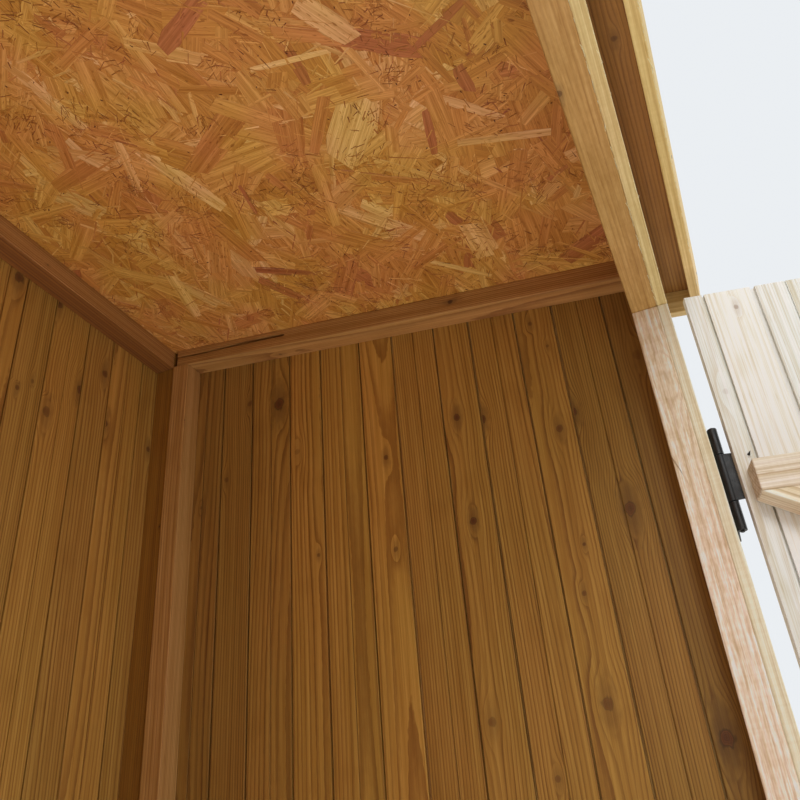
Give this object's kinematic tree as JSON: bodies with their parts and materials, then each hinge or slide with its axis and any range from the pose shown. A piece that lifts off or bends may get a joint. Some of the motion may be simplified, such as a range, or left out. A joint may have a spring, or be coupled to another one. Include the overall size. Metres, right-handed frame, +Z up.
{
  "type": "bike shelter",
  "caption": "Closed timber bike store with board walls, pent strand-board roof and ledged and braced double doors on T-hinges.",
  "frame": {"origin": "on the ground in the middle of the doorway, at the underside of the sill", "axes": "+X along the length, +Y from the doors to the back wall, +Z up"},
  "size_m": [2.2834, 1.8823, 1.7517],
  "materials": {
    "boards": "sawn, pressure treated",
    "framing": "planed, pressure treated",
    "trim": "planed, pressure treated",
    "strand_board": "pressed strands",
    "roof_felt": "mineral grit",
    "black_iron": "satin black"
  },
  "bodies": {
    "shelter": {"back_wall_boards": "boards", "back_wall_rails": "framing", "back_middle_stile": "framing", "header": "framing", "header_trim": "trim", "sill": "framing", "sill_trim": "trim", "roof_joist": "framing", "roof_sheet": "strand_board", "roof_covering": "roof_felt", "front_roof_batten": "framing", "back_roof_batten": "framing", "front_fascia": "trim", "back_fascia": "trim", "right_wall_boards": "boards", "right_wall_rails": "framing", "right_wall_stile": "framing", "right_corner_stile": "framing", "right_front_post": "framing", "right_post_trim": "trim", "right_roof_batten": "framing", "right_end_fascia": "trim", "right_hinge_butts": "black_iron", "left_wall_boards": "boards", "left_wall_rails": "framing", "left_wall_stile": "framing", "left_corner_stile": "framing", "left_front_post": "framing", "left_post_trim": "trim", "left_roof_batten": "framing", "left_end_fascia": "trim", "left_hinge_butts": "black_iron"},
    "right_door": {"right_door_boards": "boards", "right_door_ledges": "framing", "right_door_braces": "framing", "right_door_straps": "black_iron", "right_bolt_plate": "black_iron", "right_bolt_bar": "black_iron"},
    "left_door": {"left_door_boards": "boards", "left_door_ledges": "framing", "left_door_braces": "framing", "left_door_straps": "black_iron", "left_bolt_keeper": "black_iron"}
  },
  "joints": [
    {"name": "right_door_hinge", "type": "hinge", "parent": "shelter", "child": "right_door", "pos_m": [0.9267, -0.039, 0.706], "axis": [0, 0, 1], "range_deg": [-103, 69]},
    {"name": "left_door_hinge", "type": "hinge", "parent": "shelter", "child": "left_door", "pos_m": [-0.9267, -0.039, 0.706], "axis": [0, 0, -1], "range_deg": [-103, 69]}
  ]
}
